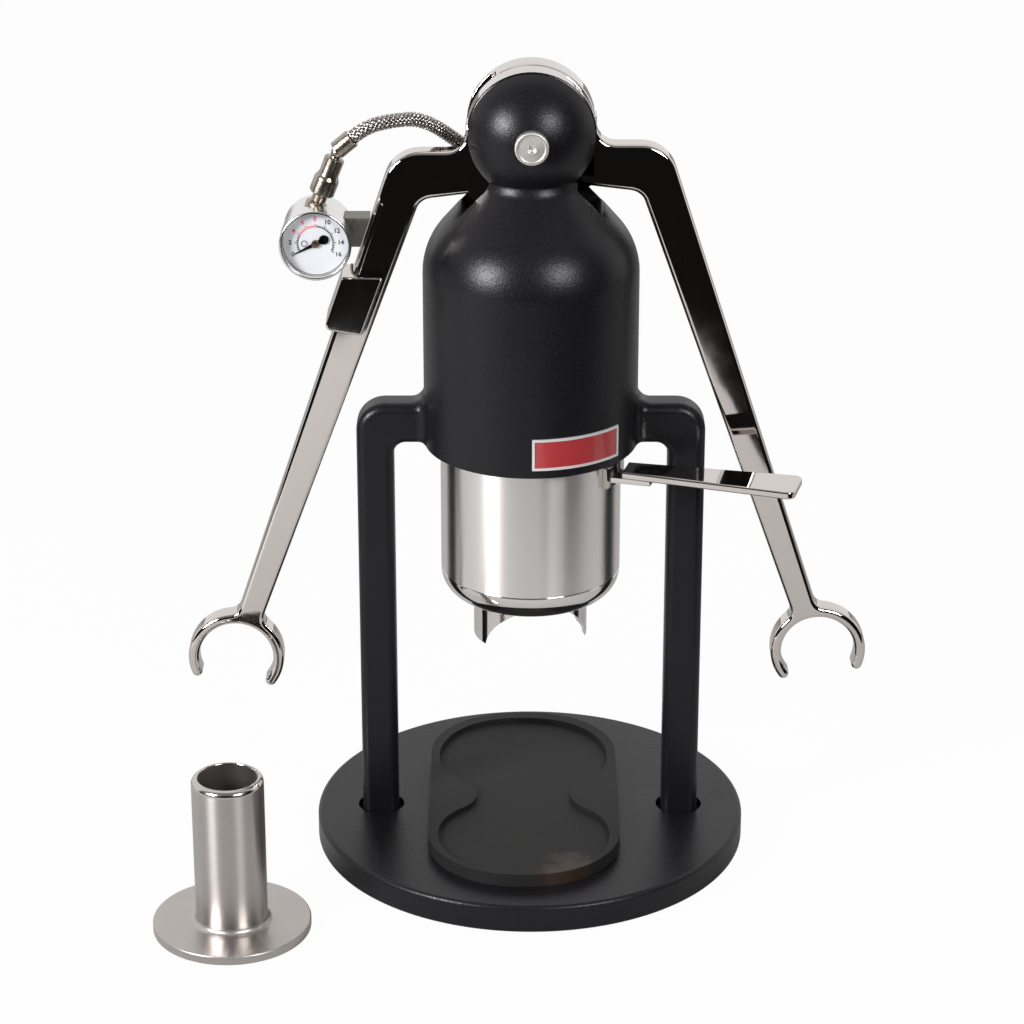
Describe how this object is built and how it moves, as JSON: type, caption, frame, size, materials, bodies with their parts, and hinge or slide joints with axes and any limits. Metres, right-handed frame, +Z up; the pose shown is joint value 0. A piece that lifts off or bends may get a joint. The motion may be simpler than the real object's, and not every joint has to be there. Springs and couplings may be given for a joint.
{
  "type": "manual lever espresso maker",
  "caption": "Manual lever espresso maker with two coupled hooked arms, piston, bayonet portafilter, gauge on a hose, base, mat and tamper.",
  "frame": {"origin": "centre of the base at the surface it stands on", "axes": "+Z up, +X to the right seen from the front, -Y towards the user"},
  "size_m": [0.2612, 0.1826, 0.2981],
  "materials": {
    "black_powder_coat": "fine textured satin",
    "polished_chrome": "mirror polish",
    "polished_stainless": "polished",
    "brushed_stainless": "turned and brushed",
    "plated_fitting": "nickel plated",
    "braided_steel": "braided wire",
    "black_rubber": "matte",
    "grey_seal": "smooth",
    "bearing_plastic": "natural",
    "dial_white": "printed matte",
    "pointer_black": "satin",
    "clear_lens": "clear"
  },
  "bodies": {
    "frame": {"frame_casting": "black_powder_coat", "base_plate": "black_powder_coat", "base_pad": "black_rubber", "leg_bolts": "brushed_stainless", "leg_bolt_washers": "brushed_stainless", "pivot_shaft": "brushed_stainless", "thrust_washers": "bearing_plastic", "front_pivot_cap": "brushed_stainless", "rear_pivot_cap": "brushed_stainless", "rod_guide_bush": "bearing_plastic", "hose_gland": "plated_fitting", "pressure_hose": "braided_steel"},
    "left_arm": {"left_arm": "polished_chrome", "left_crank_pin": "brushed_stainless", "gauge_case": "plated_fitting", "gauge_bezel": "polished_chrome", "gauge_dial": "dial_white", "gauge_lens": "clear_lens", "gauge_stem": "plated_fitting", "gauge_ferrule": "plated_fitting", "gauge_clamp": "polished_chrome", "gauge_strap": "polished_chrome", "clamp_screw": "brushed_stainless", "gauge_block": "brushed_stainless"},
    "right_arm": {"right_arm": "polished_chrome", "right_crank_pin": "brushed_stainless"},
    "left_link": {"left_link": "brushed_stainless"},
    "right_link": {"right_link": "brushed_stainless"},
    "piston": {"piston_rod": "polished_stainless", "piston_head": "brushed_stainless", "piston_seal": "grey_seal", "piston_screw": "brushed_stainless", "wrist_pin": "brushed_stainless", "wrist_clips": "brushed_stainless"},
    "portafilter": {"portafilter_cup": "polished_stainless", "coffee_basket": "polished_stainless", "filter_plate": "brushed_stainless", "dispersion_screen": "brushed_stainless", "spout": "polished_stainless", "spout_nut": "polished_stainless", "portafilter_handle": "polished_chrome", "handle_bracket": "polished_stainless"},
    "gauge_needle": {"gauge_pointer": "pointer_black"},
    "mat": {"drip_mat": "black_rubber"},
    "tamper": {"tamper": "brushed_stainless"}
  },
  "joints": [
    {"name": "right_arm_swing", "type": "hinge", "parent": "frame", "child": "right_arm", "pos_m": [0, 0, 0.2755], "axis": [0, -1, 0], "range_deg": [0, 90]},
    {"name": "left_arm_swing", "type": "hinge", "parent": "frame", "child": "left_arm", "pos_m": [0, 0, 0.2755], "axis": [0, 1, 0], "range_deg": [0, 90], "deforming": ["pressure_hose"]},
    {"name": "right_link_swing", "type": "hinge", "parent": "right_arm", "child": "right_link", "pos_m": [0.00976, 0, 0.25357], "axis": [0, -1, 0], "range_deg": [-106.2, 0]},
    {"name": "left_link_swing", "type": "hinge", "parent": "left_arm", "child": "left_link", "pos_m": [-0.00976, 0, 0.25357], "axis": [0, 1, 0], "range_deg": [-106.2, 0]},
    {"name": "piston_slide", "type": "slide", "parent": "frame", "child": "piston", "axis": [0, 0, 1], "range_m": [0, 0.037]},
    {"name": "portafilter_turn", "type": "hinge", "parent": "frame", "child": "portafilter", "pos_m": [0, 0, 0.166], "axis": [0, 0, 1], "range_deg": [-50, 0]},
    {"name": "gauge_needle_turn", "type": "hinge", "parent": "left_arm", "child": "gauge_needle", "pos_m": [-0.075, -0.0195, 0.2394], "axis": [0, 1, 0], "range_deg": [0, 270], "stiffness_Nm_per_rad": 0.00002},
    {"name": "mat_lift", "type": "slide", "parent": "frame", "child": "mat", "axis": [0, 0, 1], "range_m": [0, 0.04]},
    {"name": "tamper_lift", "type": "slide", "parent": "frame", "child": "tamper", "axis": [0, 0, 1], "range_m": [0, 0.08]}
  ],
  "couplings": [
    {"joint": "left_arm_swing", "follows": "right_arm_swing", "ratio": 1},
    {"joint": "right_link_swing", "follows": "right_arm_swing", "ratio": -1.1776},
    {"joint": "left_link_swing", "follows": "right_arm_swing", "ratio": -1.1776},
    {"joint": "piston_slide", "follows": "right_arm_swing", "m_per_rad": 0.023523}
  ]
}
